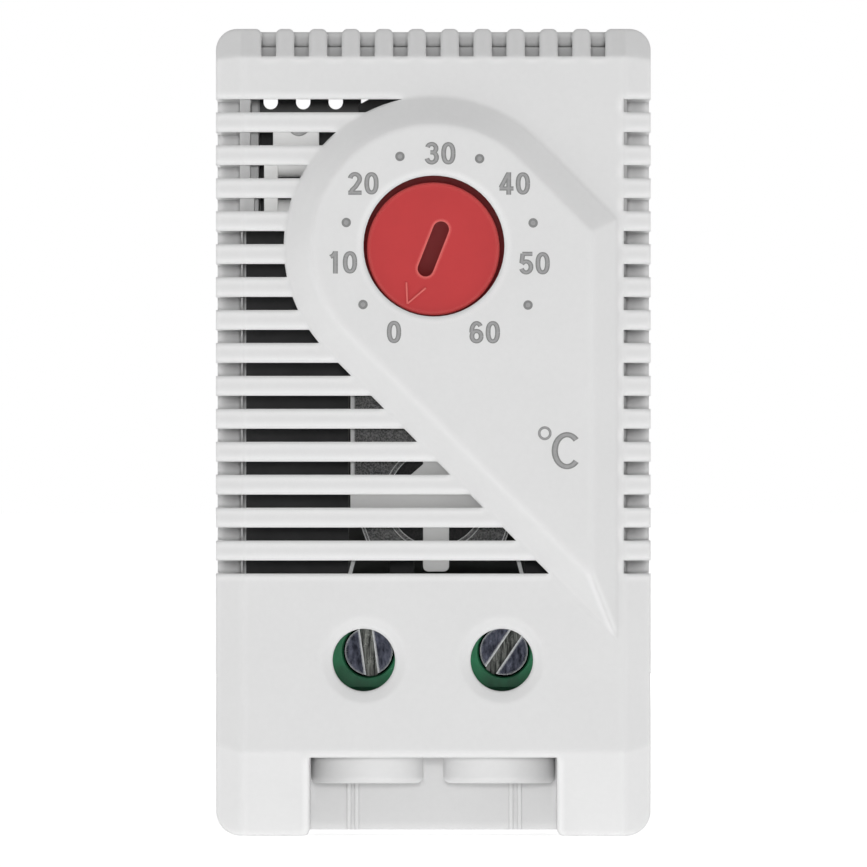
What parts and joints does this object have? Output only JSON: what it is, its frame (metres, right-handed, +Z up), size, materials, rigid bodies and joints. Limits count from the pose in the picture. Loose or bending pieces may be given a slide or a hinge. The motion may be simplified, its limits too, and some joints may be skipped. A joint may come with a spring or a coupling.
{
  "type": "din rail temperature switch",
  "caption": "Slotted light grey temperature switch for a 35 mm rail, with a red scale dial on a raised platform and screw terminals at the bottom.",
  "frame": {"origin": "centre of the rail seat on the back, at half the height and half the width", "axes": "+X to the right seen from the front, +Y out of the back towards the rail, +Z up"},
  "size_m": [0.033, 0.043, 0.0612],
  "materials": {
    "cover_plastic": "light grey moulded plastic, fine matt texture",
    "rear_plastic": "light grey moulded plastic, fine matt texture",
    "latch_plastic": "light grey moulded plastic",
    "spring_steel": "drawn spring wire",
    "dial_red": "red moulded plastic, matt",
    "white_nylon": "white nylon",
    "plated_steel": "zinc plated pressed steel",
    "bimetal": "rolled bimetal, dull grey",
    "pusher_plastic": "light grey moulded plastic",
    "black_laminate": "black insulating laminate",
    "brass": "pressed brass",
    "tinned_brass": "pressed brass, tin plated",
    "contact_silver": "silver contact",
    "terminal_green": "green moulded plastic",
    "screw_steel": "blackened steel",
    "cage_steel": "plated pressed steel",
    "scale_ink": "grey pad-printed ink of the scale"
  },
  "bodies": {
    "housing": {"front_cover": "cover_plastic", "rear_housing": "rear_plastic", "latch_spring": "spring_steel", "dial_retainer": "white_nylon", "switch_frame": "plated_steel", "pivot_pin": "plated_steel", "pivot_spring": "spring_steel", "mounting_plate": "black_laminate", "plate_screws": "plated_steel", "plate_rivets": "brass", "fixed_contact": "contact_silver", "output_strip": "tinned_brass", "feed_strip": "tinned_brass", "terminal_block": "terminal_green", "wire_guide": "rear_plastic"},
    "dial": {"dial": "dial_red"},
    "plunger": {"adjuster_plunger": "white_nylon"},
    "bimetal": {"rocker": "plated_steel", "bimetal_strip": "bimetal", "bimetal_rivets": "plated_steel", "contact_pusher": "pusher_plastic"},
    "contact": {"contact_arm": "brass", "moving_contact": "contact_silver"},
    "screw_left": {"terminal_screw_left": "screw_steel"},
    "screw_right": {"terminal_screw_right": "screw_steel"},
    "cage_left": {"clamp_cage_left": "cage_steel"},
    "cage_right": {"clamp_cage_right": "cage_steel"},
    "latch": {"rail_latch": "latch_plastic"}
  },
  "joints": [
    {"name": "dial_turn", "type": "hinge", "parent": "housing", "child": "dial", "pos_m": [0, -0.038, 0.01393], "axis": [0, 1, 0], "range_deg": [0, 310]},
    {"name": "adjuster_slide", "type": "slide", "parent": "housing", "child": "plunger", "axis": [0, 1, 0], "range_m": [0, 0.000301]},
    {"name": "rocker_tilt", "type": "hinge", "parent": "housing", "child": "bimetal", "pos_m": [0, -0.027, 0.0193], "axis": [1, 0, 0], "range_deg": [0, 3.22]},
    {"name": "contact_swing", "type": "hinge", "parent": "housing", "child": "contact", "pos_m": [0.0002, -0.02275, 0.00545], "axis": [1, 0, 0], "range_deg": [0, 7.44]},
    {"name": "terminal_screw_left_turn", "type": "hinge", "parent": "housing", "child": "screw_left", "pos_m": [-0.0049, -0.03, -0.0166], "axis": [0, 1, 0], "range_deg": [0, 1440]},
    {"name": "clamp_cage_left_rise", "type": "slide", "parent": "housing", "child": "cage_left", "axis": [0, -1, 0], "range_m": [0, 0.002]},
    {"name": "terminal_screw_right_turn", "type": "hinge", "parent": "housing", "child": "screw_right", "pos_m": [0.00536, -0.03, -0.0166], "axis": [0, 1, 0], "range_deg": [0, 1440]},
    {"name": "clamp_cage_right_rise", "type": "slide", "parent": "housing", "child": "cage_right", "axis": [0, -1, 0], "range_m": [0, 0.002]},
    {"name": "latch_slide", "type": "slide", "parent": "housing", "child": "latch", "axis": [0, 0, -1], "range_m": [0, 0.003], "stiffness_N_per_m": 1500, "springref_m": -0.002, "deforming": ["latch_spring"]}
  ],
  "couplings": [
    {"joint": "dial_turn", "follows": "adjuster_slide", "rad_per_m": 17952},
    {"joint": "rocker_tilt", "follows": "adjuster_slide", "rad_per_m": 186.2},
    {"joint": "contact_swing", "follows": "adjuster_slide", "rad_per_m": 430.34},
    {"joint": "terminal_screw_left_turn", "follows": "clamp_cage_left_rise", "rad_per_m": 12566},
    {"joint": "terminal_screw_right_turn", "follows": "clamp_cage_right_rise", "rad_per_m": 12566}
  ]
}
